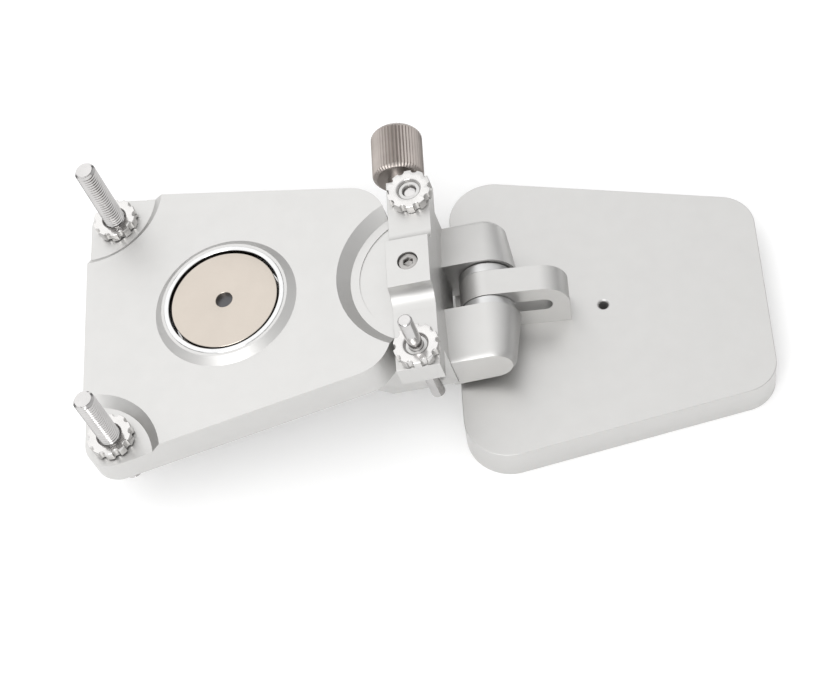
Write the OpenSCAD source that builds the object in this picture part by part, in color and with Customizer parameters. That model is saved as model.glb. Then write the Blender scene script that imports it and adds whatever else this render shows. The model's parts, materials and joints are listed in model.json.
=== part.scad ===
// Dental articulator, opened out on the bench.
// The base plate lies flat on z = 0. The magnetic frame is hinged to it and leans down to its front stud.
// Frame pieces are drawn level, with the hinge axis as their origin, and then leaned as one.

/* [Base plate] */
// Length of the base plate along X
base_len = 86.6; // [84:0.2:90]
// Thickness of the base plate
base_t = 10.5; // [10:0.1:12]
// Half width of the base plate at its hinge end, before the corners are rounded
base_wide = 48.2; // [46:0.2:50]
// Half width of the base plate at its free end, before the corners are rounded
base_narrow = 31; // [29:0.2:33]
// Corner radius at the hinge end
base_wide_r = 12.5; // [10:0.5:15]
// Corner radius at the free end
base_narrow_r = 10; // [8:0.5:12]
// Distance from the hinge-end edge to the centre hole
base_hole_from_edge = 41.4; // [40:0.2:43]

/* [Hinge] */
// Distance from the base plate's hinge-end edge to the hinge axis
hinge_in = 9.7; // [9.5:0.1:10.5]
// Height of the hinge axis above the base plate
hinge_rise = 9.0; // [9:0.1:10]
// Angle that the frame leans down from level
lean = 8.3; // [8:0.1:8.6]
// Radius of the hinge pin
pin_r = 3; // [2.5:0.1:3.2]
// Half width of the hinge arm along Y
arm_half = 4; // [3.5:0.1:4.2]
// Radius of the hinge arm's rounded ends
arm_r = 7.8; // [7.5:0.1:8]
// Distance from the hinge axis to the centre of the arm's free end
arm_reach = 14.6; // [14:0.1:16]
// Half height of the slot through the arm
slot_r = 2.45; // [2.3:0.05:2.6]
// Half of the gap between the two ears
ear_in = 7; // [6.8:0.1:7.5]
// Distance from the centre plane to the outer face of an ear
ear_out = 22.4; // [22:0.1:22.4]
// Radius of an ear at its inner face
ear_r = 8.7; // [8:0.1:8.7]
// Radius of an ear near its outer face
ear_tip_r = 6.5; // [6:0.1:7]

/* [Frame plate] */
// Height of the frame plate's top face above the hinge axis
plate_top = 21.1; // [20.8:0.1:21.5]
// Thickness of the frame plate
plate_t = 10.5; // [10:0.1:11]
// Distance from the hinge axis back to the plate's rear edge
plate_rear = 23.2; // [23.1:0.1:23.6]
// Distance from the hinge axis to the two front studs
stud_back = 102.5; // [101:0.5:104]
// Distance of each front stud from the centre plane
stud_side = 35.9; // [35:0.1:37]
// Radius of the plate's front corners, round the studs
front_r = 8; // [7.5:0.1:8.5]
// Radius of the plate's rear corners
rear_r = 12; // [11:0.5:12.5]
// Distance of the rear corners' centres from the centre plane
rear_side = 18.9; // [18.5:0.1:19.5]
// Radius of each front corner recess at the plate's top face
recess_r = 21.5; // [20:0.5:22]
// Depth of a front corner recess
recess_d = 2.8; // [2:0.1:3.5]
// Radius of the round pocket behind the cross bar, at the plate's top face
pocket_r = 25.5; // [24:0.5:26]
// Depth of the round pocket
pocket_d = 3.5; // [3:0.1:4]
// Half width of the neck that carries the ears
neck_half = 22.8; // [22:0.1:23]
// Height of the shelf that the cross bar sits on, above the hinge axis
shelf_z = 12.8; // [12.5:0.1:13.2]

/* [Cross bar] */
// Width of the cross bar along X
bar_w = 12; // [11.6:0.1:12]
// Half length of the cross bar along Y
bar_half = 31; // [30:0.5:32]
// Half length of the raised middle block
block_half = 7.6; // [7:0.1:8]
// Height of the raised middle block
block_h = 12.1; // [11.5:0.1:12.5]
// Height of the bar's two wings
wing_h = 6.8; // [6.6:0.1:7]
// Distance of the stop pins from the centre plane
stop_side = 25.3; // [25.2:0.1:26]
// Distance of the near stop pin from the hinge axis
near_stop_back = 16.4; // [16:0.1:17]
// Distance of the far stop pin from the hinge axis
far_stop_back = 15.8; // [15.6:0.1:16]
// Radius of the stop pins
stop_r = 2; // [1.8:0.1:2]

/* [Studs and nuts] */
// Radius of the front studs
stud_r = 3; // [2.8:0.1:3]
// Length of the long front stud's upper part, above the plate's top face
long_stud_up = 24.2; // [22:0.2:26]
// Length of the short front stud's upper part, above the plate's top face
short_stud_up = 19.8; // [18:0.2:22]
// Whole length of the short front stud
short_stud_len = 39.6; // [36:0.2:40]
// Radius of a lock nut over its lobes
nut_r = 6.3; // [6:0.05:6.6]
// Height of a lock nut
nut_h = 3.1; // [3:0.1:3.5]
// Number of lobes on a lock nut
nut_lobes = 10; // [8:1:12]

/* [Magnet] */
// Distance from the hinge axis to the magnet's centre
magnet_back = 69.4; // [68:0.2:71]
// Radius of the pole disc
disc_r = 15.2; // [15:0.1:15.4]
// Radius of the magnet cup
cup_r = 17.3; // [17:0.1:17.5]
// Height of the magnet's raised seat above the plate
seat_h = 1.8; // [1.5:0.1:2]

/* [Clamp knob] */
// Radius of the knurled knob
knob_r = 7.3; // [7:0.1:7.5]
// Length of the knurled knob
knob_len = 15.6; // [15:0.2:17]
// Distance of the clamp screw's axis in front of the bar's centre line
knob_off = 3; // [2.8:0.1:3]
// Number of ridges round the knob
knob_ridges = 48; // [40:1:56]

/* [Hidden] */
smooth = 96;
fine = 48;
hull_fn = 32;
// Overshoot of a cut past the face it opens
over = 0.5;
// Radial clearance of a running fit
run = 0.05;
// How far a corner's arc stands proud of the straight sides it joins
arc_proud = 0.02;
// Gap left between pieces that move past each other
gap = 0.3;
// Radial clearance round the shank of a screw that passes through
screw_loose = 0.2;
// Overshoot of a countersink past its face
mouth_over = 0.01;
// Sides of a hexagon socket
hex_fn = 6;

hinge_x = hinge_in - base_hole_from_edge;
hinge_z = base_t + hinge_rise;
base_slope = (base_wide - base_narrow) / base_len;
base_lean = sqrt(1 + base_slope * base_slope);

// Arm and hinge
arm_tip_x = arm_reach + arm_r;
slot_a = 8;
slot_b = 15.2;
bush_r = 4;
washer_r = 7.7;
washer_out = 6.7;
pin_blind = 17;
pin_short = 1;
arm_screw_x = [5.2, 16.2];
arm_screw_r = 2;
arm_screw_end = 14.9;
screw_head_r = 3.5;
screw_head_h = 4;
screw_head_sink = 0.4;
arm_hex = 1.7;
set_screw_r = 1.5;
set_screw_y = 15;
set_screw_low = 7.4;
set_hex = 0.85;
set_hex_depth = 2;
// Tapped hole in the middle of the base plate
base_hole_r = 1.25;
base_hole_mouth_r = 1.75;
base_hole_mouth_d = 0.5;

// Frame plate
plate_bottom = plate_top - plate_t;
recess_x = -109.8;
recess_y = 43.5;
floor_step = 0.3;
recess_wall = 2.8;
step_in = 2.5;
pocket_x = -12.3;
pocket_floor_r = 22.3;
ear_root_x = -10.8;
ear_bottom = -5.8;
ear_root_in = 1.5;
ear_round = 1.6;
ear_rim = 1.2;
slice_t = 0.2;
neck_bottom = -4.3;
neck_lap = 1;
neck_front = -29.3;
neck_slope_front = -45.3;
seat_foot_r = 20.3;
seat_top_r = 18.1;

// Cross bar
bar_x = -16.8;
bar_top = shelf_z + block_h;
wing_top = shelf_z + wing_h;
fillet_r = block_h - wing_h;
dowel_r = 2;
dowel_y = 15;
dowel_len = 12;
bar_screw_r = 1.5;
bar_screw_head_r = 2.7;
bar_screw_head_h = 3;
bar_head_loose = 0.15;
bar_screw_sink = 0.6;
bar_screw_down = 9;
bar_hex = 1.44;
// Threaded boss on the bar that carries a lock nut and guides a stop pin
boss_h = 2.3;
stop_spots = [[-near_stop_back, -stop_side], [-far_stop_back, stop_side]];

// Studs, stop pins and nuts
stud_chamfer = 0.7;
// The long stud ends where its lower rim touches the bench
long_stud_foot = ((stud_back + stud_r - stud_chamfer) * sin(lean) - hinge_z) / cos(lean);
nut_gap = 0.1;
corner_nut_z = plate_top - recess_d + floor_step + nut_gap;
bar_nut_z = wing_top + nut_gap;
scallop_r = 1.15;
scallop_out = 0.35;
scallop_at = nut_r + scallop_out;
scallop_fn = 24;
nut_mouth_r = 3.5;
nut_mouth_d = 0.6;
stop_chamfer = 0.4;
near_stop_tip = 34.6;
near_stop_foot = -3.2;
far_stop_up = 1.4;
far_stop_tip = wing_top + far_stop_up;
far_stop_foot = -4.2;

// Magnet
cup_wall = 1.4;
cup_floor = 1.5;
cup_sink = 5.7;
rim_proud = 0.2;
cup_low = plate_top - cup_sink;
cup_top = plate_top + seat_h + rim_proud;
magnet_r = 14.6;
magnet_hole_r = 4;
disc_h = 2.5;
disc_top = plate_top + seat_h - rim_proud;
disc_hole_r = 2.35;
mag_head_r = 4.5;
mag_head_h = 2.6;
mag_head_sink = 0.4;
mag_hex = 1.7;
mag_screw_short = 1.3;
mag_screw_end = disc_top - mag_screw_short;
mag_screw_loose = 0.4;

// Clamp
lug_r = wing_h / 2;
lug_lap = 1;
lug_y = stop_side - lug_lap;
clamp_z = shelf_z + lug_r;
clamp_x = bar_x - knob_off;
shank_r = 2.5;
collar_r = 3.1;
collar_len = 2.6;
pad_r = 2.4;
pad_len = 1.2;
knob_y = bar_half + gap + collar_len;
knob_chamfer = 1.2;
knob_grip_r = 1.5;
ridge_depth = 0.35;
ridge_fn = 4;
// The clamp screw runs beside the stop pin and its pad bears on the pin's flank
pad_y = stop_side + stop_r + gap;
clamp_bore_y = pad_y - gap;

// Ends of the straight line that touches circles a and b on their outer side, each given as [x, y, r]
function touch_angle(a, b) =
    atan2(b[1] - a[1], b[0] - a[0])
    - acos((a[2] - b[2]) / norm([b[0] - a[0], b[1] - a[1]]));
function on_circle(c, angle) = [c[0] + c[2] * cos(angle), c[1] + c[2] * sin(angle)];
function touch_points(c) = [
    for (i = [0 : len(c) - 1], end = [0, 1])
        let (a = c[i], b = c[(i + 1) % len(c)], angle = touch_angle(a, b))
            on_circle(end == 0 ? a : b, angle)
];

// Outline of a belt round the circles c, listed anticlockwise, with true arcs at its corners.
// Each arc stands a hair proud of the straight sides, so that it crosses them cleanly.
module belt(c) {
    polygon(touch_points(c));
    for (one = c) translate([one[0], one[1]]) circle(one[2] + arc_proud, $fn = smooth);
}

// Cylinder along Y from y = a to y = b
module rod_y(r, a, b, fn = fine) {
    translate([0, b, 0]) rotate([90, 0, 0]) cylinder(r = r, h = b - a, $fn = fn);
}

// Places a frame piece: leans it about the hinge axis and lifts it to the hinge
module on_frame() {
    translate([hinge_x, 0, hinge_z]) rotate([0, -lean, 0]) children();
}

// Rod along Z with both ends chamfered
module chamfered_rod(r, low, high, chamfer) {
    rotate_extrude($fn = fine) polygon([
        [0, low], [r - chamfer, low], [r, low + chamfer],
        [r, high - chamfer], [r - chamfer, high], [0, high]
    ]);
}

// Socket cap screw with its head's face at z = 0 and its shank pointing down
module cap_screw(shank, head, head_h, down, hex) {
    difference() {
        union() {
            translate([0, 0, -head_h]) cylinder(r = head, h = head_h, $fn = fine);
            translate([0, 0, -down]) cylinder(r = shank, h = down - head_h + over, $fn = fine);
        }
        translate([0, 0, -head_h / 2]) cylinder(r = hex, h = head_h, $fn = hex_fn);
    }
}

module base_plate() {
    wide_x = base_wide_r - base_hole_from_edge;
    narrow_x = base_len - base_hole_from_edge - base_narrow_r;
    wide_y = base_wide - base_slope * base_wide_r - base_wide_r * base_lean;
    narrow_y = base_narrow + base_slope * base_narrow_r - base_narrow_r * base_lean;
    color("gainsboro") difference() {
        linear_extrude(base_t) belt([
            [wide_x, -wide_y, base_wide_r], [narrow_x, -narrow_y, base_narrow_r],
            [narrow_x, narrow_y, base_narrow_r], [wide_x, wide_y, base_wide_r]
        ]);
        translate([0, 0, -over]) cylinder(r = base_hole_r, h = base_t + 2 * over, $fn = fine);
        translate([0, 0, base_t - base_hole_mouth_d])
            cylinder(r1 = base_hole_r, r2 = base_hole_mouth_r,
                     h = base_hole_mouth_d + mouth_over, $fn = fine);
        for (x = arm_screw_x) translate([hinge_x + x, 0, -over]) {
            cylinder(r = arm_screw_r + screw_loose, h = base_t + 2 * over, $fn = fine);
            cylinder(r = screw_head_r + gap, h = screw_head_sink + screw_head_h + over, $fn = fine);
        }
    }
}

module hinge_arm() {
    color("gainsboro") translate([hinge_x, 0, hinge_z]) difference() {
        translate([0, arm_half, 0]) rotate([90, 0, 0]) linear_extrude(2 * arm_half) {
            circle(arm_r, $fn = smooth);
            translate([arm_reach, 0]) circle(arm_r, $fn = smooth);
            translate([0, -arm_r]) square([arm_reach, 2 * arm_r]);
            translate([-arm_r, -hinge_rise]) square([arm_tip_x + arm_r, hinge_rise]);
        }
        rod_y(bush_r, -arm_half - over, arm_half + over);
        for (x = [slot_a, slot_b]) translate([x, 0, 0])
            rod_y(slot_r, -arm_half - over, arm_half + over);
        translate([slot_a, -arm_half - over, -slot_r])
            cube([slot_b - slot_a, 2 * (arm_half + over), 2 * slot_r]);
        for (x = arm_screw_x) translate([x, 0, -hinge_rise - over])
            cylinder(r = arm_screw_r, h = arm_screw_end - base_t + gap + over, $fn = fine);
    }
}

module arm_screws() {
    color("silver") for (x = arm_screw_x)
        translate([hinge_x + x, 0, screw_head_sink]) mirror([0, 0, 1])
            cap_screw(arm_screw_r, screw_head_r, screw_head_h,
                      arm_screw_end - screw_head_sink, arm_hex);
}

module hinge_bush() {
    color("peru") translate([hinge_x, 0, hinge_z]) difference() {
        rod_y(bush_r, -arm_half, arm_half);
        rod_y(pin_r + run, -arm_half - over, arm_half + over);
    }
}

module hinge_pin() {
    color("silver") on_frame() rod_y(pin_r, -pin_blind, ear_out - pin_short);
}

// Thrust washer on one side of the arm: side is -1 near, 1 far
module washer(side) {
    color("gainsboro") on_frame() difference() {
        rod_y(washer_r, side > 0 ? arm_half + nut_gap : -washer_out,
              side > 0 ? washer_out : -arm_half - nut_gap);
        rod_y(pin_r + run, -ear_in - over, ear_in + over);
    }
}

module near_washer() washer(-1);
module far_washer() washer(1);

module pin_set_screw() {
    color("dimgray") on_frame() translate([0, set_screw_y, -set_screw_low]) difference() {
        cylinder(r = set_screw_r, h = set_screw_low - pin_r, $fn = fine);
        translate([0, 0, -over]) cylinder(r = set_hex, h = over + set_hex_depth, $fn = hex_fn);
    }
}

// One slice of an ear: a round nose about the hinge axis and a straight run back into the neck
module ear_slice(r, y) {
    rod_y(r, y, y + slice_t, hull_fn);
    translate([ear_root_x - ear_root_in, y, ear_bottom])
        cube([ear_root_in, slice_t, r - ear_bottom]);
}

// One ear: it tapers outwards and its outer rim is rounded off
module ear(side) {
    mirror([0, side < 0 ? 1 : 0, 0]) hull() {
        ear_slice(ear_r, ear_in);
        ear_slice(ear_tip_r, ear_out - ear_round - slice_t);
        ear_slice(ear_tip_r - ear_rim, ear_out - slice_t);
    }
}

// Two-level round recess: a sloping wall, a narrow ledge and a slightly deeper floor
module stepped_recess(r, floor_r, depth) {
    translate([0, 0, -depth]) {
        translate([0, 0, floor_step])
            cylinder(r1 = floor_r, r2 = r, h = depth - floor_step, $fn = smooth);
        cylinder(r = floor_r - step_in, h = depth, $fn = smooth);
        translate([0, 0, depth]) cylinder(r = r, h = over, $fn = smooth);
    }
}

module frame_plate() {
    front = [stud_back, stud_side, front_r];
    rear = [plate_rear + rear_r, rear_side, rear_r];
    color("gainsboro") on_frame() difference() {
        union() {
            translate([0, 0, plate_bottom]) linear_extrude(plate_t) belt([
                [-front[0], -front[1], front[2]], [-rear[0], -rear[1], rear[2]],
                [-rear[0], rear[1], rear[2]], [-front[0], front[1], front[2]]
            ]);
            translate([-magnet_back, 0, plate_top])
                cylinder(r1 = seat_foot_r, r2 = seat_top_r, h = seat_h, $fn = smooth);
            translate([0, neck_half, 0]) rotate([90, 0, 0]) linear_extrude(2 * neck_half) polygon([
                [neck_slope_front, plate_bottom + neck_lap], [neck_slope_front, plate_bottom],
                [neck_front, neck_bottom], [ear_root_x, neck_bottom],
                [ear_root_x, shelf_z], [-plate_rear - neck_lap, shelf_z],
                [-plate_rear - neck_lap, plate_bottom + neck_lap]
            ]);
            for (side = [-1, 1]) ear(side);
        }
        for (side = [-1, 1]) {
            translate([recess_x, side * recess_y, plate_top])
                stepped_recess(recess_r, recess_r - recess_wall, recess_d);
            translate([-stud_back, side * stud_side, plate_bottom - over])
                cylinder(r = stud_r + run, h = plate_t + 2 * over, $fn = fine);
            translate([bar_x, side * dowel_y, shelf_z - dowel_len / 2])
                cylinder(r = dowel_r, h = dowel_len, $fn = fine);
        }
        translate([pocket_x, 0, plate_top]) stepped_recess(pocket_r, pocket_floor_r, pocket_d);
        translate([-magnet_back, 0, cup_low])
            cylinder(r = cup_r, h = cup_top - cup_low + over, $fn = smooth);
        translate([-magnet_back, 0, plate_bottom - over]) {
            cylinder(r = disc_hole_r + mag_screw_loose, h = plate_t + over, $fn = fine);
            cylinder(r = mag_head_r + gap, h = mag_head_h + mag_head_sink + over, $fn = fine);
        }
        translate([bar_x, 0, shelf_z - bar_screw_down])
            cylinder(r = bar_screw_r, h = bar_screw_down + over, $fn = fine);
        rod_y(pin_r, -pin_blind, ear_out + over);
        translate([0, set_screw_y, -ear_r - over])
            cylinder(r = set_screw_r, h = ear_r + over, $fn = fine);
    }
}

// Front view of the bar before its two hollow fillets are cut
module bar_profile() {
    polygon([
        [-bar_half, shelf_z], [bar_half, shelf_z], [bar_half, wing_top],
        [block_half + fillet_r, wing_top], [block_half + fillet_r, bar_top],
        [-block_half - fillet_r, bar_top], [-block_half - fillet_r, wing_top], [-bar_half, wing_top]
    ]);
}

module cross_bar() {
    color("gainsboro") on_frame() difference() {
        union() {
            translate([bar_x - bar_w / 2, 0, 0]) rotate([90, 0, 90]) linear_extrude(bar_w) difference() {
                bar_profile();
                for (side = [-1, 1]) translate([side * (block_half + fillet_r), bar_top])
                    circle(fillet_r, $fn = smooth);
            }
            translate([clamp_x, 0, clamp_z]) rod_y(lug_r, lug_y, bar_half, smooth);
            for (at = stop_spots) translate([at[0], at[1], wing_top - over])
                cylinder(r = stud_r, h = boss_h + over, $fn = fine);
        }
        for (at = stop_spots) translate([at[0], at[1], shelf_z - over])
            cylinder(r = stop_r + run, h = wing_h + boss_h + 2 * over, $fn = fine);
        for (side = [-1, 1]) translate([bar_x, side * dowel_y, shelf_z - dowel_len / 2])
            cylinder(r = dowel_r, h = dowel_len, $fn = fine);
        translate([bar_x, 0, shelf_z - over])
            cylinder(r = bar_screw_r + screw_loose, h = block_h + 2 * over, $fn = fine);
        translate([bar_x, 0, bar_top - bar_screw_sink - bar_screw_head_h])
            cylinder(r = bar_screw_head_r + bar_head_loose,
                     h = bar_screw_sink + bar_screw_head_h + over, $fn = fine);
        translate([clamp_x, 0, clamp_z]) rod_y(shank_r + run, clamp_bore_y, bar_half + over);
    }
}

module bar_screw() {
    color("dimgray") on_frame() translate([bar_x, 0, bar_top - bar_screw_sink])
        cap_screw(bar_screw_r, bar_screw_head_r, bar_screw_head_h,
                  block_h - bar_screw_sink + bar_screw_down - gap, bar_hex);
}

module bar_dowels() {
    color("silver") on_frame() for (side = [-1, 1])
        translate([bar_x, side * dowel_y, shelf_z - dowel_len / 2])
            cylinder(r = dowel_r, h = dowel_len, $fn = fine);
}

module far_stop_pin() {
    color("silver") on_frame() translate([-far_stop_back, stop_side, 0])
        chamfered_rod(stop_r, far_stop_foot, far_stop_tip, stop_chamfer);
}

module near_stop_pin() {
    color("silver") on_frame() translate([-near_stop_back, -stop_side, 0])
        chamfered_rod(stop_r, near_stop_foot, near_stop_tip, stop_chamfer);
}

// Scalloped lock nut standing on z = 0
module lock_nut() {
    difference() {
        cylinder(r = nut_r, h = nut_h, $fn = smooth);
        translate([0, 0, -over]) cylinder(r = stud_r + run, h = nut_h + 2 * over, $fn = fine);
        translate([0, 0, nut_h - nut_mouth_d])
            cylinder(r1 = stud_r + run, r2 = nut_mouth_r, h = nut_mouth_d + mouth_over, $fn = fine);
        for (i = [0 : nut_lobes - 1]) rotate(i * 360 / nut_lobes)
            translate([scallop_at, 0, -over])
                cylinder(r = scallop_r, h = nut_h + 2 * over, $fn = scallop_fn);
    }
}

module long_stud_nut() {
    color("lightgray") on_frame() translate([-stud_back, stud_side, corner_nut_z]) lock_nut();
}

module short_stud_nut() {
    color("lightgray") on_frame() translate([-stud_back, -stud_side, corner_nut_z]) lock_nut();
}

module far_stop_nut() {
    color("lightgray") on_frame() translate([-far_stop_back, stop_side, bar_nut_z]) lock_nut();
}

module near_stop_nut() {
    color("lightgray") on_frame() translate([-near_stop_back, -stop_side, bar_nut_z]) lock_nut();
}

module long_stud() {
    color("silver") on_frame() translate([-stud_back, stud_side, 0])
        chamfered_rod(stud_r, long_stud_foot, plate_top + long_stud_up, stud_chamfer);
}

module short_stud() {
    tip = plate_top + short_stud_up;
    color("silver") on_frame() translate([-stud_back, -stud_side, 0])
        chamfered_rod(stud_r, tip - short_stud_len, tip, stud_chamfer);
}

// Steel cup that closes the magnet's field round its rim
module magnet_cup() {
    color("silver") on_frame() translate([-magnet_back, 0, cup_low]) difference() {
        cylinder(r = cup_r, h = cup_top - cup_low, $fn = smooth);
        translate([0, 0, cup_floor])
            cylinder(r = cup_r - cup_wall, h = cup_top - cup_low, $fn = smooth);
        translate([0, 0, -over])
            cylinder(r = disc_hole_r + mag_screw_loose, h = cup_floor + 2 * over, $fn = fine);
    }
}

module ring_magnet() {
    low = cup_low + cup_floor;
    color("dimgray") on_frame() translate([-magnet_back, 0, low]) difference() {
        cylinder(r = magnet_r, h = disc_top - disc_h - low, $fn = smooth);
        translate([0, 0, -over]) cylinder(r = magnet_hole_r, h = disc_top - low, $fn = fine);
    }
}

module pole_disc() {
    color("wheat") on_frame() translate([-magnet_back, 0, disc_top - disc_h]) difference() {
        cylinder(r = disc_r, h = disc_h, $fn = smooth);
        translate([0, 0, -over]) cylinder(r = disc_hole_r, h = disc_h + 2 * over, $fn = fine);
    }
}

module magnet_screw() {
    head_low = plate_bottom + mag_head_sink;
    color("dimgray") on_frame() translate([-magnet_back, 0, head_low]) mirror([0, 0, 1])
        cap_screw(disc_hole_r, mag_head_r, mag_head_h, mag_screw_end - head_low, mag_hex);
}

// Clamp screw with its collar; it turns with the knob
module clamp_screw() {
    color("silver") on_frame() translate([clamp_x, 0, clamp_z]) {
        rod_y(shank_r, pad_y + pad_len, bar_half + gap + over);
        rod_y(collar_r, bar_half + gap, knob_y);
        rod_y(knob_grip_r, knob_y - over, knob_y + knob_len / 2);
    }
}

module clamp_pad() {
    color("goldenrod") on_frame() translate([clamp_x, 0, clamp_z]) rod_y(pad_r, pad_y, pad_y + pad_len);
}

// Knurled knob, drawn along Z and turned to lie along Y
module clamp_knob() {
    color("dimgray") on_frame() translate([clamp_x, knob_y, clamp_z]) rotate([-90, 0, 0]) difference() {
        rotate_extrude($fn = smooth) polygon([
            [0, 0], [knob_r - knob_chamfer, 0], [knob_r, knob_chamfer],
            [knob_r, knob_len - knob_chamfer], [knob_r - knob_chamfer, knob_len], [0, knob_len]
        ]);
        translate([0, 0, -over]) cylinder(r = knob_grip_r, h = knob_len / 2 + over, $fn = fine);
        for (i = [0 : knob_ridges - 1]) rotate(i * 360 / knob_ridges)
            translate([knob_r, 0, -over])
                cylinder(r = ridge_depth, h = knob_len + 2 * over, $fn = ridge_fn);
    }
}

base_plate();
hinge_arm();
arm_screws();
hinge_bush();
hinge_pin();
near_washer();
far_washer();
pin_set_screw();
frame_plate();
cross_bar();
bar_screw();
bar_dowels();
clamp_knob();
clamp_screw();
clamp_pad();
far_stop_pin();
near_stop_pin();
far_stop_nut();
near_stop_nut();
long_stud();
short_stud();
long_stud_nut();
short_stud_nut();
magnet_cup();
ring_magnet();
pole_disc();
magnet_screw();
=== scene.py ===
"""Dental articulator: fine shapes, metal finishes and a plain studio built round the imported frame.

Frame pieces are drawn level in millimetres, with the hinge axis as their origin, and then leaned and
lifted to the hinge as one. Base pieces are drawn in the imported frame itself.
"""

import json
import logging
import math
from dataclasses import dataclass
from enum import Enum

import bmesh
import bpy
from mathutils import Matrix, Vector

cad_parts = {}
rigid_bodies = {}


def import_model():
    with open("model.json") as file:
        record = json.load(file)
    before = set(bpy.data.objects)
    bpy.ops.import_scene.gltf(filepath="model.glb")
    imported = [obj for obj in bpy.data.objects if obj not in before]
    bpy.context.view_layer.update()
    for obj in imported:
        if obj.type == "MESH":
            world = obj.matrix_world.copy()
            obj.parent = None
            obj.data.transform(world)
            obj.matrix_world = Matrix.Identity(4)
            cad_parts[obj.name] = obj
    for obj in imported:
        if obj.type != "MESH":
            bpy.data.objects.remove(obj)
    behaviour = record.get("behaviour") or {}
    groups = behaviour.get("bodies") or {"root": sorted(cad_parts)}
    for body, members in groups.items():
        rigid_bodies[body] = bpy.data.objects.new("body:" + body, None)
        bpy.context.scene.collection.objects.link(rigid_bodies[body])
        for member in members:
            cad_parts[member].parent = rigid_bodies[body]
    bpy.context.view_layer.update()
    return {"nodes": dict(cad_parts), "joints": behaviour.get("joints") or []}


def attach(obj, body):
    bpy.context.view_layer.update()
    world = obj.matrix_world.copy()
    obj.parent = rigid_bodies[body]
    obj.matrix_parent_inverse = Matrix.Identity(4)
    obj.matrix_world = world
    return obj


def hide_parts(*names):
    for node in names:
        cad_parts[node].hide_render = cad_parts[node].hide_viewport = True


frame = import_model()

log = logging.getLogger("articulator")

MM = 0.001
Ring = list[Vector]
JOINTS = {joint["name"]: joint for joint in frame["joints"]}

# Points nearer than these are one point: millimetres for drawn shapes, metres for packed ones
SKIN_WELD = 1e-5
TREE_WELD = 1e-4
TREE_SLIVER = 1e-5
PACK_WELD = 2e-6
# Packed faces that meet at less than this are one face, in degrees
FLAT_ANGLE = 0.6
# A rounded corner takes at most one part in this many of either side
CORNER_SHARE = 2.2
# A bored profile starts this far past its own seam, in millimetres
SEAM = 0.1

# Heights of both ends above the hinge axis, level with the frame plate, in millimetres
LONG_STUD_ENDS = (-4.4, 45.3)
SHORT_STUD_ENDS = (1.3, 40.9)
NEAR_PIN_ENDS = (-3.2, 34.6)
FAR_PIN_ENDS = (-4.2, 21.0)
# Heights that the lock nuts stand at: in the corner recesses and on the cross bar
CORNER_NUT_Z, BAR_NUT_Z = 18.7, 19.7
# Where the knob's inner face stands across the frame plate
KNOB_Y = 33.9
BAR_SCREW_AT = (-16.8, 0.0, 24.3)


# The slow wander of a metal's colour: its rate, its detail and where its two tones lie
CLOUD_SCALE, CLOUD_DETAIL = 180.0, 6.0
CLOUD_RAMP = (0.3, 0.7)
# The least roughness of any finish
GLOSS_LIMIT = 0.02
# Turning marks: rings for each grain size, how far they wander and in what detail
RING_RATE, RING_WANDER, RING_DETAIL = 0.3, 1.5, 2.0
# Specks: detail of a blasted surface and of the others, and the weight of that detail
BLASTED_DETAIL, SPECK_DETAIL, SPECK_ROUGHNESS = 3.0, 6.0, 0.6


class Grain(Enum):
    """What the surface of a metal shows up close."""

    BLASTED = "blasted"
    TURNED = "turned"
    POLISHED = "polished"
    OXIDE = "oxide"


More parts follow.
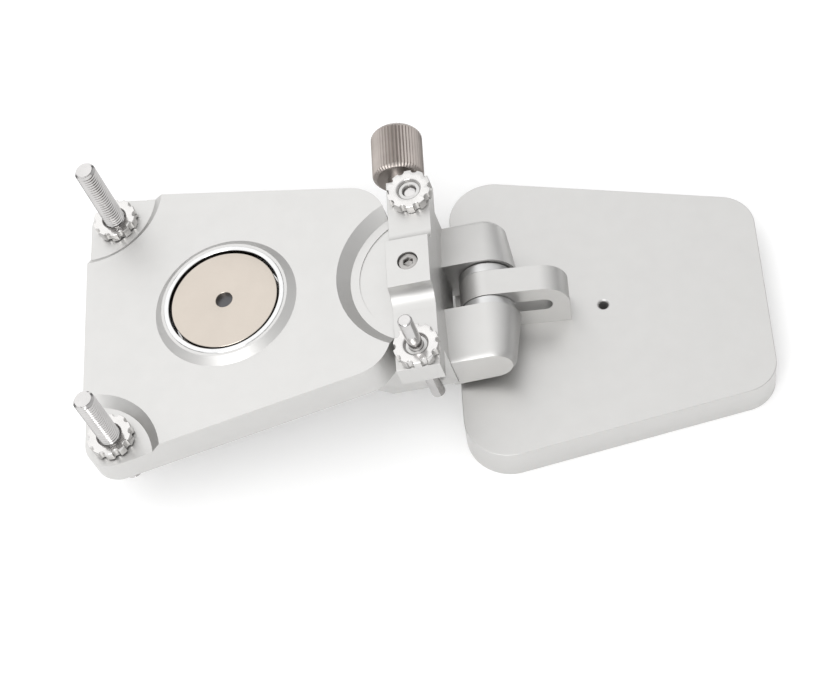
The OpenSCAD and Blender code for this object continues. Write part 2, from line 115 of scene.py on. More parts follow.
@dataclass(frozen=True)
class Finish:
    """A metal surface: its colour, its gloss and its grain.

    Attributes:
        name: Material name.
        colour: Linear colour of the metal.
        roughness: Mean roughness.
        spread: How far the roughness wanders either way.
        grain: The kind of texture.
        grain_size: Size of one grain or turning mark, in metres.
        relief: Depth of the grain, in metres.
        mottle: How much the colour wanders over a few millimetres.
        metallic: Metallic value of the shader.
    """

    name: str
    colour: tuple[float, float, float]
    roughness: float
    spread: float
    grain: Grain
    grain_size: float
    relief: float
    mottle: float = 0.05
    metallic: float = 1.0

    def material(self, seat: Matrix | None = None) -> bpy.types.Material:
        """Makes the material, with turning marks centred on a piece's own axis.

        Args:
            seat: Where the piece's axis stands, for a turned grain.

        Returns:
            The material.
        """
        made = bpy.data.materials.new(self.name)
        made.use_nodes = True
        tree = made.node_tree
        nodes, links = tree.nodes, tree.links
        shader = nodes["Principled BSDF"]
        shader.inputs["Metallic"].default_value = self.metallic
        where = nodes.new("ShaderNodeTexCoord").outputs["Object"]
        if seat is not None:
            back = seat.inverted()
            turn = nodes.new("ShaderNodeMapping")
            turn.inputs["Location"].default_value = back.translation
            turn.inputs["Rotation"].default_value = back.to_euler()
            links.new(where, turn.inputs["Vector"])
            where = turn.outputs["Vector"]
        cloud = nodes.new("ShaderNodeTexNoise")
        cloud.inputs["Scale"].default_value = CLOUD_SCALE
        cloud.inputs["Detail"].default_value = CLOUD_DETAIL
        links.new(where, cloud.inputs["Vector"])
        tint = nodes.new("ShaderNodeValToRGB")
        low, high = tint.color_ramp.elements
        low.position, high.position = CLOUD_RAMP
        low.color = (*(c * (1 - self.mottle) for c in self.colour), 1)
        high.color = (*(min(1.0, c * (1 + self.mottle)) for c in self.colour), 1)
        links.new(cloud.outputs["Fac"], tint.inputs["Fac"])
        links.new(tint.outputs["Color"], shader.inputs["Base Color"])
        fine = self._grain_node(tree, where)
        gloss = nodes.new("ShaderNodeMapRange")
        gloss.inputs["To Min"].default_value = max(GLOSS_LIMIT, self.roughness - self.spread)
        gloss.inputs["To Max"].default_value = self.roughness + self.spread
        links.new(fine, gloss.inputs["Value"])
        links.new(gloss.outputs["Result"], shader.inputs["Roughness"])
        bump = nodes.new("ShaderNodeBump")
        bump.inputs["Strength"].default_value = 1.0
        bump.inputs["Distance"].default_value = self.relief
        links.new(fine, bump.inputs["Height"])
        links.new(bump.outputs["Normal"], shader.inputs["Normal"])
        return made

    def _grain_node(self, tree: bpy.types.NodeTree, where: bpy.types.NodeSocket) -> bpy.types.NodeSocket:
        """Adds the fine texture.

        Args:
            tree: The material's node tree.
            where: Coordinates to read.

        Returns:
            A socket from 0 to 1.
        """
        if self.grain is Grain.TURNED:
            rings = tree.nodes.new("ShaderNodeTexWave")
            rings.wave_type = "RINGS"
            rings.rings_direction = "Z"
            rings.inputs["Scale"].default_value = RING_RATE / self.grain_size
            rings.inputs["Distortion"].default_value = RING_WANDER
            rings.inputs["Detail"].default_value = RING_DETAIL
            tree.links.new(where, rings.inputs["Vector"])
            return rings.outputs["Fac"]
        speck = tree.nodes.new("ShaderNodeTexNoise")
        speck.inputs["Scale"].default_value = 1 / self.grain_size
        blasted = self.grain is Grain.BLASTED
        speck.inputs["Detail"].default_value = BLASTED_DETAIL if blasted else SPECK_DETAIL
        speck.inputs["Roughness"].default_value = SPECK_ROUGHNESS
        tree.links.new(where, speck.inputs["Vector"])
        return speck.outputs["Fac"]


BLASTED_PLATE = Finish(
    "blasted_plate", (0.62, 0.615, 0.605), 0.46, 0.07, Grain.BLASTED, 0.00022, 0.000014, 0.012
)
TURNED_WASHER = Finish("turned_washer", (0.62, 0.62, 0.62), 0.30, 0.06, Grain.TURNED, 0.0003, 0.000006)
BRIGHT_STEEL = Finish("bright_steel", (0.55, 0.54, 0.535), 0.09, 0.04, Grain.POLISHED, 0.0006, 0.000003)
NUT_NICKEL = Finish("nut_nickel", (0.62, 0.61, 0.60), 0.15, 0.05, Grain.POLISHED, 0.0005, 0.000004)
DISC_NICKEL = Finish(
    "disc_nickel", (0.50, 0.452, 0.402), 0.22, 0.05, Grain.TURNED, 0.00035, 0.000003, 0.015
)
CUP_STEEL = Finish("cup_steel", (0.66, 0.66, 0.66), 0.16, 0.06, Grain.TURNED, 0.0004, 0.000005)
KNOB_STEEL = Finish(
    "knob_steel", (0.42, 0.38, 0.355), 0.36, 0.08, Grain.POLISHED, 0.0004, 0.000006, 0.08
)
BLACK_OXIDE = Finish("black_oxide", (0.10, 0.10, 0.105), 0.38, 0.08, Grain.OXIDE, 0.0003, 0.000005, 0.12)
SOCKET_STEEL = Finish(
    "socket_steel", (0.36, 0.35, 0.34), 0.24, 0.06, Grain.POLISHED, 0.0003, 0.000004, 0.08
)
BUSH_BRONZE = Finish("bush_bronze", (0.55, 0.36, 0.17), 0.40, 0.08, Grain.OXIDE, 0.0003, 0.000005, 0.10)
PAD_BRASS = Finish("pad_brass", (0.72, 0.52, 0.22), 0.32, 0.06, Grain.TURNED, 0.0003, 0.000005)
MAGNET_BLACK = Finish(
    "magnet_black", (0.06, 0.06, 0.065), 0.50, 0.08, Grain.OXIDE, 0.0004, 0.000008, 0.15, 0.6
)


@dataclass(frozen=True)
class Seat:
    """Where the frame plate stands: its hinge and its lean.

    Attributes:
        hinge: A point on the hinge axis, in metres.
        lean: Angle that the frame plate leans down from level.
    """

    hinge: Vector
    lean: float

    @classmethod
    def from_joints(cls) -> "Seat":
        """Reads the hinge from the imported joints.

        Returns:
            The frame plate's seat.
        """
        normal = JOINTS["long_stud_height"]["axis"]
        return cls(Vector(JOINTS["main_hinge"]["pos_m"]), math.atan2(-normal[0], normal[2]))

    def place(self, x: float = 0.0, y: float = 0.0, z: float = 0.0) -> Matrix:
        """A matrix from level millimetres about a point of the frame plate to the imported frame.

        Args:
            x: Place along the frame plate, from the hinge.
            y: Place across it.
            z: Height above the hinge axis.

        Returns:
            The matrix.
        """
        level = Matrix.Translation(self.hinge) @ Matrix.Rotation(-self.lean, 4, "Y") @ Matrix.Scale(MM, 4)
        return level @ Matrix.Translation((x, y, z))

    def level(self, point: list[float]) -> Vector:
        """A packed point as level millimetres from the hinge.

        Args:
            point: The point, in metres.

        Returns:
            The same point in the frame plate's own place.
        """
        return self.place().inverted() @ Vector(point)


def rigid(seat: Matrix) -> Matrix:
    """The same place and turn without the scale from millimetres.

    Args:
        seat: Matrix with a scale.

    Returns:
        The matrix without it.
    """
    return Matrix.LocRotScale(seat.translation, seat.to_quaternion(), None)


def ring(radius: float, z: float, sides: int) -> Ring:
    """A circle of points about Z.

    Args:
        radius: Radius of the circle.
        z: Height of the circle.
        sides: Number of points.

    Returns:
        The points.
    """
    turns = (2 * math.pi * i / sides for i in range(sides))
    return [Vector((radius * math.cos(a), radius * math.sin(a), z)) for a in turns]


def hexagon(across: float, z: float, sides: int) -> Ring:
    """A regular hexagon about Z, sampled at as many points as a circle.

    Args:
        across: Distance across the flats.
        z: Height of the hexagon.
        sides: Number of points, a multiple of six.

    Returns:
        The points.
    """
    points = []
    for i in range(sides):
        turn = 2 * math.pi * i / sides
        off = (turn + math.pi / 6) % (math.pi / 3) - math.pi / 6
        reach = across / 2 / math.cos(off)
        points.append(Vector((reach * math.cos(turn), reach * math.sin(turn), z)))
    return points


def eased(points: list[tuple[float, float]], size: float, steps: int = 3) -> list[tuple[float, float]]:
    """Rounds the inner corners of a profile.

    Args:
        points: Profile as (radius, height) points.
        size: Length taken from each side of a corner.
        steps: Pieces in each rounded corner.

    Returns:
        The rounded profile.
    """
    path = [Vector(p) for p in points]
    out = [path[0]]
    for before, corner, after in zip(path, path[1:], path[2:]):
        back, on = before - corner, after - corner
        cut = min(size, back.length / CORNER_SHARE, on.length / CORNER_SHARE)
        start, end = corner + back.normalized() * cut, corner + on.normalized() * cut
        for i in range(steps + 1):
            t = i / steps
            out.append(start * (1 - t) ** 2 + corner * 2 * t * (1 - t) + end * t**2)
    out.append(path[-1])
    return [(p.x, p.y) for p in out]


def skin(rings: list[Ring], loop: bool = False) -> bpy.types.Mesh:
    """Joins rings of points into a closed mesh; the first and last rings are capped unless it is a loop.

    Args:
        rings: Rings with equal numbers of points.
        loop: True joins the last ring to the first, for a piece with a bore.

    Returns:
        The mesh, with its faces pointing outwards.
    """
    shape = bmesh.new()
    rows = [[shape.verts.new(p) for p in points] for points in rings]
    pairs = list(zip(rows, rows[1:])) + ([(rows[-1], rows[0])] if loop else [])
    for lower, upper in pairs:
        count = len(lower)
        for i in range(count):
            j = (i + 1) % count
            shape.faces.new((lower[i], lower[j], upper[j], upper[i]))
    if not loop:
        shape.faces.new(list(reversed(rows[0])))
        shape.faces.new(rows[-1])
    bmesh.ops.remove_doubles(shape, verts=shape.verts, dist=SKIN_WELD)
    bmesh.ops.recalc_face_normals(shape, faces=shape.faces)
    mesh = bpy.data.meshes.new("skin")
    shape.to_mesh(mesh)
    shape.free()
    return mesh


def lathe(profile: list[tuple[float, float]], sides: int, loop: bool = False) -> bpy.types.Mesh:
    """Turns a profile about Z.

    Args:
        profile: Profile as (radius, height) points.
        sides: Number of points round the turn.
        loop: True for a profile that closes on itself, round a bore.

    Returns:
        The mesh.
    """
    return skin([ring(r, z, sides) for r, z in profile], loop)


def finish_piece(
    name: str,
    mesh: bpy.types.Mesh,
    seat: Matrix,
    material: bpy.types.Material,
    smooth: float = 32.0,
) -> bpy.types.Object:
    """Moves a mesh to its seat, shades it and links it as a piece.

    Args:
        name: Name of the piece.
        mesh: The mesh, in millimetres.
        seat: Matrix from the mesh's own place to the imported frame.
        material: Material for every face.
        smooth: Edges flatter than this angle, in degrees, are shaded smooth.

    Returns:
        The piece.
    """
    mesh.transform(seat)
    mesh.materials.clear()
    mesh.materials.append(material)
    mesh.shade_smooth()
    mesh.set_sharp_from_angle(angle=math.radians(smooth))
    mesh.name = name
    piece = bpy.data.objects.new(name, mesh)
    bpy.context.scene.collection.objects.link(piece)
    return piece


def hand_over(piece: bpy.types.Object, body: str, slot: str, *nodes: str) -> None:
    """Attaches a piece to the body it rides on and hides the nodes it stands for.

    Args:
        piece: The finished piece.
        body: Body it moves with.
        slot: Material slot of the record; not used.
        nodes: Nodes that it stands for.
    """
    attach(piece, body)
    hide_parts(*nodes)
    log.info("%s rides on %s: %d faces", piece.name, body, len(piece.data.polygons))


class Tree:
    """A Geometry Nodes tree under construction, with short ways to add its parts."""

    def __init__(self, name: str) -> None:
        """Starts an empty tree with a geometry output.

        Args:
            name: Name of the tree.
        """
        self.group = bpy.data.node_groups.new(name, "GeometryNodeTree")
        self.group.interface.new_socket("Geometry", in_out="OUTPUT", socket_type="NodeSocketGeometry")
        self.ids: dict[str, str] = {}

    def inputs(self, names: dict[str, str]) -> dict[str, bpy.types.NodeSocket]:
        """Args:
            names: Input name to socket type.

        Returns:
            Input name to the socket that carries it.
        """
        for name, kind in names.items():
            made = self.group.interface.new_socket(name, in_out="INPUT", socket_type=kind)
            self.ids[name] = made.identifier
        source = self.group.nodes.new("NodeGroupInput")
        return {name: source.outputs[name] for name in names}

    def node(self, kind: str, values: dict, **settings: object) -> bpy.types.Node:
        """Adds a node.

        Args:
            kind: Node type.
            values: Input name or number to a socket or a value.
            settings: Attributes of the node.

        Returns:
            The node.
        """
        made = self.group.nodes.new(kind)
        for key, value in settings.items():
            setattr(made, key, value)
        for key, value in values.items():
            if isinstance(value, bpy.types.NodeSocket):
                self.group.links.new(value, made.inputs[key])
            else:
                made.inputs[key].default_value = value
        return made

    def math(self, operation: str, *values: object) -> bpy.types.NodeSocket:
        """Adds a Math node.

        Args:
            operation: What the node works out.
            values: Sockets or numbers to work on.

        Returns:
            The result.
        """
        return self.node("ShaderNodeMath", dict(enumerate(values)), operation=operation).outputs[0]

    def finish(self, geometry: bpy.types.NodeSocket, material: bpy.types.NodeSocket) -> None:
        """Ends the tree in Realize Instances and Set Material.

        Args:
            geometry: The geometry to put out.
            material: The material input.
        """
        real = self.node("GeometryNodeRealizeInstances", {"Geometry": geometry})
        dressed = self.node(
            "GeometryNodeSetMaterial", {"Geometry": real.outputs[0], "Material": material}
        )
        end = self.group.nodes.new("NodeGroupOutput")
        self.group.links.new(dressed.outputs[0], end.inputs[0])

    def run(self, start: bpy.types.Mesh, values: dict[str, object]) -> bpy.types.Mesh:
        """Runs the tree on a mesh and gives a plain mesh.

        Args:
            start: Mesh that the modifier sits on.
            values: Input name to its value.

        Returns:
            The result, with doubles merged and faces pointing outwards.
        """
        holder = bpy.data.objects.new("holder", start)
        bpy.context.scene.collection.objects.link(holder)
        modifier = holder.modifiers.new("shape", "NODES")
        modifier.node_group = self.group
        for name, value in values.items():
            modifier[self.ids[name]] = value
        holder.update_tag()
        graph = bpy.context.evaluated_depsgraph_get()
        made = bpy.data.meshes.new_from_object(holder.evaluated_get(graph))
        bpy.data.objects.remove(holder)
        shape = bmesh.new()
        shape.from_mesh(made)
        bmesh.ops.remove_doubles(shape, verts=shape.verts, dist=TREE_WELD)
        bmesh.ops.dissolve_degenerate(shape, dist=TREE_SLIVER, edges=shape.edges)
        bmesh.ops.recalc_face_normals(shape, faces=shape.faces)
        shape.to_mesh(made)
        shape.free()
        return made


def thread_tree() -> Tree:
    """A threaded rod about Z: a strip of rows wound on a helix, with chamfered and capped ends.

    Each turn has four rows: the crest's start and end, then the root's start and end. The values below
    are heights within a turn, as shares of the pitch.

    Returns:
        The tree.
    """
    rows_a_turn, spare_turns = 4.0, 2.0
    crest_width, flank_width, root_width = 0.15, 0.35, 0.25
    tree = Tree("thread_rod")
    given = tree.inputs(
        {
            "Low": "NodeSocketFloat",
            "High": "NodeSocketFloat",
            "Radius": "NodeSocketFloat",
            "Pitch": "NodeSocketFloat",
            "Depth": "NodeSocketFloat",
            "Chamfer": "NodeSocketFloat",
            "Sides": "NodeSocketInt",
            "Material": "NodeSocketMaterial",
        }
    )
    m = tree.math
    length = m("SUBTRACT", given["High"], given["Low"])
    turns = m("ADD", m("CEIL", m("DIVIDE", length, given["Pitch"])), spare_turns)
    rows = m("ADD", m("MULTIPLY", turns, rows_a_turn), 1.0)
    strip = tree.node(
        "GeometryNodeMeshGrid",
        {
            "Size X": 1.0,
            "Size Y": 1.0,
            "Vertices X": m("ADD", given["Sides"], 1.0),
            "Vertices Y": rows,
        },
    )
    at = tree.node("ShaderNodeSeparateXYZ", {0: tree.node("GeometryNodeInputPosition", {}).outputs[0]})
    across = m("ADD", at.outputs["X"], 0.5)
    row = m("ROUND", m("MULTIPLY", m("ADD", at.outputs["Y"], 0.5), m("SUBTRACT", rows, 1.0)))
    step = m("MODULO", row, rows_a_turn)
    crest_end = m("MULTIPLY", m("GREATER_THAN", step, 0.5), crest_width)
    in_root = m("GREATER_THAN", step, 1.5)
    root_end = m("MULTIPLY", m("GREATER_THAN", step, 2.5), root_width)
    along = m("ADD", m("ADD", crest_end, m("MULTIPLY", in_root, flank_width)), root_end)
    wound = m("ADD", m("ADD", m("FLOOR", m("DIVIDE", row, rows_a_turn)), along), across)
    raw = m("ADD", m("SUBTRACT", given["Low"], given["Pitch"]), m("MULTIPLY", wound, given["Pitch"]))
    height = m("MINIMUM", m("MAXIMUM", raw, given["Low"]), given["High"])
    inset = m("MINIMUM", m("SUBTRACT", height, given["Low"]), m("SUBTRACT", given["High"], height))
    end_radius = m("SUBTRACT", given["Radius"], given["Chamfer"])
    wall = m("SUBTRACT", given["Radius"], m("MULTIPLY", given["Depth"], in_root))
    reach = m("MINIMUM", wall, m("ADD", end_radius, inset))
    turn = m("MULTIPLY", across, 2 * math.pi)
    place = tree.node(
        "ShaderNodeCombineXYZ",
        {
            "X": m("MULTIPLY", reach, m("COSINE", turn)),
            "Y": m("MULTIPLY", reach, m("SINE", turn)),
            "Z": height,
        },
    )
    side = tree.node(
        "GeometryNodeSetPosition", {"Geometry": strip.outputs[0], "Position": place.outputs[0]}
    )
    joined = tree.group.nodes.new("GeometryNodeJoinGeometry")
    tree.group.links.new(side.outputs[0], joined.inputs[0])
    for end in ("Low", "High"):
        cap = tree.node(
            "GeometryNodeMeshCircle", {"Vertices": given["Sides"], "Radius": end_radius}, fill_type="NGON"
        )
        lift = tree.node("ShaderNodeCombineXYZ", {"Z": given[end]})
        moved = tree.node(
            "GeometryNodeTransform", {"Geometry": cap.outputs[0], "Translation": lift.outputs[0]}
        )
        tree.group.links.new(moved.outputs[0], joined.inputs[0])
    tree.finish(joined.outputs[0], given["Material"])
    return tree


def groove_tree() -> Tree:
    """Grooves spaced round a turned piece: each point is drawn in by how near it is to a groove.

    Returns:
        The tree.
    """
    # Whole turns keep the phase above zero, and the half sets the first groove on +X
    phase_shift, least_radius = 100.5, 1e-6
    tree = Tree("round_grooves")
    given = tree.inputs(
        {
            "Blank": "NodeSocketGeometry",
            "Count": "NodeSocketInt",
            "Depth": "NodeSocketFloat",
            "Width": "NodeSocketFloat",
            "Bow": "NodeSocketFloat",
            "Hollow": "NodeSocketFloat",
            "Inner Radius": "NodeSocketFloat",
            "Outer Radius": "NodeSocketFloat",
            "Material": "NodeSocketMaterial",
        }
    )
    m = tree.math
    at = tree.node("ShaderNodeSeparateXYZ", {0: tree.node("GeometryNodeInputPosition", {}).outputs[0]})
    x, y, z = (at.outputs[i] for i in range(3))
    radius = m("SQRT", m("ADD", m("MULTIPLY", x, x), m("MULTIPLY", y, y)))
    turn = m("ARCTAN2", y, x)
    spacing = m("DIVIDE", given["Count"], 2 * math.pi)
    phase = m("FRACT", m("ADD", m("MULTIPLY", turn, spacing), phase_shift))
    off = m("MULTIPLY", m("ABSOLUTE", m("SUBTRACT", phase, 0.5)), 2.0)
    near = m("POWER", m("MINIMUM", m("DIVIDE", off, given["Width"]), 1.0), given["Bow"])
    shape = m("POWER", m("SUBTRACT", 1.0, near), given["Hollow"])
    span = m("SUBTRACT", given["Outer Radius"], given["Inner Radius"])
    share = m("DIVIDE", m("SUBTRACT", radius, given["Inner Radius"]), span)
    share = m("MINIMUM", m("MAXIMUM", share, 0.0), 1.0)
    pull = m("MULTIPLY", m("MULTIPLY", given["Depth"], shape), share)
    ratio = m("DIVIDE", m("SUBTRACT", radius, pull), m("MAXIMUM", radius, least_radius))
    place = tree.node(
        "ShaderNodeCombineXYZ", {"X": m("MULTIPLY", x, ratio), "Y": m("MULTIPLY", y, ratio), "Z": z}
    )
    cut = tree.node(
        "GeometryNodeSetPosition", {"Geometry": given["Blank"], "Position": place.outputs[0]}
    )
    tree.finish(cut.outputs[0], given["Material"])
    return tree


@dataclass
class MachinedPart:
    """A milled piece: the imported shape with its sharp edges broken.

    Attributes:
        node: Node that the piece stands for.
        body: Body it moves with.
        slot: Material slot.
        chamfer: Width of a broken edge, in millimetres.
        steps: Pieces across a broken edge.
        sharp: Edges sharper than this angle, in degrees, are broken.
        evenness: How firmly the large faces keep their own normals, up to 100.
    """

    node: str
    body: str
    slot: str
    chamfer: float = 0.35
    steps: int = 2
    sharp: float = 35.0
    evenness: int = 100

    def build(self, material: bpy.types.Material) -> bpy.types.Object:
        """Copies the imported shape, merges it and breaks its edges.

        Args:
            material: Material of the piece.

        Returns:
            The piece.
        """
        shape = bmesh.new()
        shape.from_mesh(frame["nodes"][self.node].data)
        bmesh.ops.remove_doubles(shape, verts=shape.verts, dist=PACK_WELD)
        bmesh.ops.dissolve_limit(
            shape,
            angle_limit=math.radians(FLAT_ANGLE),
            verts=shape.verts,
            edges=shape.edges,
            delimit=set(),
        )
        mesh = bpy.data.meshes.new(self.node)
        shape.to_mesh(mesh)
        shape.free()
        mesh.shade_smooth()
        mesh.set_sharp_from_angle(angle=math.radians(self.sharp))
        holder = bpy.data.objects.new("holder", mesh)
        bpy.context.scene.collection.objects.link(holder)
        edge = holder.modifiers.new("edge", "BEVEL")
        edge.width = self.chamfer * MM
        edge.segments = self.steps
        edge.limit_method = "ANGLE"
        edge.angle_limit = math.radians(self.sharp)
        edge.miter_outer = "MITER_ARC"
        even = holder.modifiers.new("even", "WEIGHTED_NORMAL")
        even.weight = self.evenness
        even.keep_sharp = False
        graph = bpy.context.evaluated_depsgraph_get()
        broken = bpy.data.meshes.new_from_object(holder.evaluated_get(graph))
        bpy.data.objects.remove(holder)
        broken.materials.clear()
        broken.materials.append(material)
        piece = bpy.data.objects.new(f"{self.node}_milled", broken)
        bpy.context.scene.collection.objects.link(piece)
        hand_over(piece, self.body, self.slot, self.node)
        return piece


@dataclass
class ThreadedStud:
    """A threaded front foot.

    Attributes:
        node: Node it stands for.
        body: Body it moves with.
        x: Place along the frame plate, from the hinge.
        y: Place across it.
        low: Height of its lower end.
        high: Height of its tip.
        radius: Outer radius of the thread.
        pitch: Pitch of the thread.
        depth: Depth of the thread.
        chamfer: Chamfer at both ends.
        sides: Points round the stud.
        smooth: Edges flatter than this angle, in degrees, are shaded smooth.
    """

    node: str
    body: str
    x: float
    y: float
    low: float
    high: float
    radius: float = 3.0
    pitch: float = 1.0
    depth: float = 0.58
    chamfer: float = 0.7
    sides: int = 48
    smooth: float = 40.0

    def build(self, seat: Seat, tree: Tree, material: bpy.types.Material) -> bpy.types.Object:
        """Winds the thread and seats the stud.

        Args:
            seat: Where the frame plate stands.
            tree: Thread tree.
            material: Material of the stud.

        Returns:
            The piece.
        """
        mesh = tree.run(
            bpy.data.meshes.new("empty"),
            {
                "Low": self.low,
                "High": self.high,
                "Radius": self.radius,
                "Pitch": self.pitch,
                "Depth": self.depth,
                "Chamfer": self.chamfer,
                "Sides": self.sides,
                "Material": material,
            },
        )
        place = seat.place(self.x, self.y)
        piece = finish_piece(f"{self.node}_threaded", mesh, place, material, self.smooth)
        hand_over(piece, self.body, "bright_steel", self.node)
        return piece


@dataclass
class StopPin:
    """A plain bright pin through the cross bar, with eased chamfers at both ends.

    Attributes:
        node: Node it stands for.
        body: Body it moves with.
        x: Place along the frame plate, from the hinge.
        y: Place across it.
        low: Height of its lower end.
        high: Height of its upper end.
        radius: Radius of the pin.
        chamfer: Chamfer at both ends.
        ease: Length that eases a corner.
        core: Radius of the flat middle of an end, as a share of the end's own.
        sides: Points round the pin.
    """

    node: str
    body: str
    x: float
    y: float
    low: float
    high: float
    radius: float = 2.0
    chamfer: float = 0.4
    ease: float = 0.15
    core: float = 0.05
    sides: int = 48

    def build(self, seat: Seat, material: bpy.types.Material) -> bpy.types.Object:
        """Turns the pin and seats it.

        Args:
            seat: Where the frame plate stands.
            material: Material of the pin.

        Returns:
            The piece.
        """
        inner = self.radius - self.chamfer
        sides = [
            (inner * self.core, self.low),
            (inner, self.low),
            (self.radius, self.low + self.chamfer),
            (self.radius, self.high - self.chamfer),
            (inner, self.high),
            (inner * self.core, self.high),
        ]
        mesh = lathe(eased(sides, self.ease), self.sides)
        piece = finish_piece(f"{self.node}_turned", mesh, seat.place(self.x, self.y), material)
        hand_over(piece, self.body, "bright_steel", self.node)
        return piece


@dataclass
class LockNut:
    """A flat round nut with scallops for a finger grip and a countersunk mouth.

    Attributes:
        node: Node it stands for.
        body: Body it moves with.
        x: Place along the frame plate, from the hinge.
        y: Place across it.
        z: Height of its lower face.
        radius: Radius over the lobes.
        height: Height of the nut.
        bore: Radius of the bore.
        mouth: Radius of the countersink at the upper face.
        mouth_depth: Depth of the countersink.
        scallops: Number of scallops.
        scallop_depth: Depth of a scallop.
        scallop_width: Width of a scallop, as a share of the spacing.
        bow: How round a scallop's floor is.
        hollow: How steep a scallop's sides are.
        fade: Width of the band in which a scallop deepens, inwards of the eased edge.
        edge: Length that eases a corner.
        sides: Points round the nut.
    """

    node: str
    body: str
    x: float
    y: float
    z: float
    radius: float = 6.3
    height: float = 3.1
    bore: float = 3.05
    mouth: float = 3.5
    mouth_depth: float = 0.6
    scallops: int = 10
    scallop_depth: float = 0.78
    scallop_width: float = 0.5
    bow: float = 2.0
    hollow: float = 0.5
    fade: float = 1.2
    edge: float = 0.3
    sides: int = 320

    def build(self, seat: Seat, tree: Tree, material: bpy.types.Material) -> bpy.types.Object:
        """Turns the blank, cuts the scallops and seats the nut.

        Args:
            seat: Where the frame plate stands.
            tree: Groove tree.
            material: Material of the nut.

        Returns:
            The piece.
        """
        profile = [
            (self.bore, self.height / 2),
            (self.bore, 0.0),
            (self.radius, 0.0),
            (self.radius, self.height),
            (self.mouth, self.height),
            (self.bore, self.height - self.mouth_depth),
            (self.bore, self.height / 2 + SEAM),
        ]
        blank = lathe(eased(profile, self.edge), self.sides, loop=True)
        mesh = tree.run(
            blank,
            {
                "Count": self.scallops,
                "Depth": self.scallop_depth,
                "Width": self.scallop_width,
                "Bow": self.bow,
                "Hollow": self.hollow,
                "Inner Radius": self.radius - self.edge - self.fade,
                "Outer Radius": self.radius - self.edge,
                "Material": material,
            },
        )
        place = seat.place(self.x, self.y, self.z)
        piece = finish_piece(f"{self.node}_scalloped", mesh, place, material)
        hand_over(piece, self.body, "bright_steel", self.node)
        return piece


@dataclass
class ClampKnob:
    """The straight-knurled knob on the clamp screw, drawn along Z and laid along Y.

    Attributes:
        node: Node it stands for.
        body: Body it moves with.
        radius: Radius over the ridges.
        length: Length of the knob.
        chamfer: Chamfer at both ends.
        ridges: Number of ridges.
        ridge_depth: Depth of the grooves between them.
        ridge_hollow: How steep the grooves' sides are.
        fade: Where the grooves start and reach full depth, outwards of the end face.
        dish: Where the shallow dish in the outer face starts and ends, inwards of the end face's rim.
        dish_depth: Depth of the dish.
        core: Radius of the flat middle of an end.
        ease: Length that eases a corner.
        sides: Points round the knob.
        smooth: Edges flatter than this angle, in degrees, are shaded smooth.
    """

    node: str = "clamp_knob"
    body: str = "knob_body"
    radius: float = 7.3
    length: float = 15.6
    chamfer: float = 1.2
    ridges: int = 48
    ridge_depth: float = 0.38
    ridge_hollow: float = 0.8
    fade: tuple[float, float] = (0.4, 0.9)
    dish: tuple[float, float] = (1.0, 1.3)
    dish_depth: float = 0.25
    core: float = 0.2
    ease: float = 0.25
    sides: int = 480
    smooth: float = 45.0

    def build(self, seat: Matrix, tree: Tree, material: bpy.types.Material) -> bpy.types.Object:
        """Turns the blank, rolls the ridges and seats the knob.

        Args:
            seat: Where the knob's inner face stands.
            tree: Groove tree.
            material: Material of the knob.

        Returns:
            The piece.
        """
        end = self.radius - self.chamfer
        profile = [
            (self.core, 0.0),
            (end, 0.0),
            (self.radius, self.chamfer),
            (self.radius, self.length - self.chamfer),
            (end, self.length),
            (end - self.dish[0], self.length),
            (end - self.dish[1], self.length - self.dish_depth),
            (self.core, self.length - self.dish_depth),
        ]
        blank = lathe(eased(profile, self.ease), self.sides)
        mesh = tree.run(
            blank,
            {
                "Count": self.ridges,
                "Depth": self.ridge_depth,
                "Width": 1.0,
                "Bow": 1.0,
                "Hollow": self.ridge_hollow,
                "Inner Radius": end + self.fade[0],
                "Outer Radius": end + self.fade[1],
                "Material": material,
            },
        )
        piece = finish_piece(f"{self.node}_knurled", mesh, seat, material, self.smooth)
        hand_over(piece, self.body, "knob_steel", self.node)
        return piece


@dataclass
class SocketScrew:
    """A socket cap screw about Z, with its head's face at height zero.

    Attributes:
        node: Node it stands for.
        body: Body it moves with.
        head: Radius of the head.
        head_height: Height of the head.
        shank: Radius of the shank.
        length: Whole length.
        across: Socket's distance across the flats.
        socket: Depth of the socket.
        tip: Radius of the tip as a share of the shank's.
        tip_height: Height of the tip's chamfer.
        crown: Height of the head's rounded rim.
        crown_mid: Inset and drop of the middle of that rim.
        mouth: Extra width and depth of the socket's chamfer.
        drill: Radius and extra depth of the drilled middle of the socket's floor.
        sides: Points round the screw, a multiple of six.
    """

    node: str
    body: str
    head: float
    head_height: float
    shank: float
    length: float
    across: float
    socket: float
    tip: float = 0.7
    tip_height: float = 0.4
    crown: float = 0.3
    crown_mid: tuple[float, float] = (0.1, 0.08)
    mouth: tuple[float, float] = (0.3, 0.15)
    drill: tuple[float, float] = (0.1, 0.5)
    sides: int = 48

    def build(self, seat: Matrix, material: bpy.types.Material) -> bpy.types.Object:
        """Lofts the screw from its tip to the floor of its socket.

        Args:
            seat: Where the head's face stands.
            material: Material of the screw.

        Returns:
            The piece.
        """
        n = self.sides
        rings = [
            ring(self.shank * self.tip, -self.length, n),
            ring(self.shank, -self.length + self.tip_height, n),
            ring(self.shank, -self.head_height, n),
            ring(self.head, -self.head_height, n),
            ring(self.head, -self.crown, n),
            ring(self.head - self.crown_mid[0], -self.crown_mid[1], n),
            ring(self.head - self.crown, 0.0, n),
            hexagon(self.across + self.mouth[0], 0.0, n),
            hexagon(self.across, -self.mouth[1], n),
            hexagon(self.across, -self.socket, n),
            ring(self.drill[0], -self.socket - self.drill[1], n),
        ]
        piece = finish_piece(f"{self.node}_socket", skin(rings), seat, material)
        hand_over(piece, self.body, "dark_steel", self.node)
        return piece


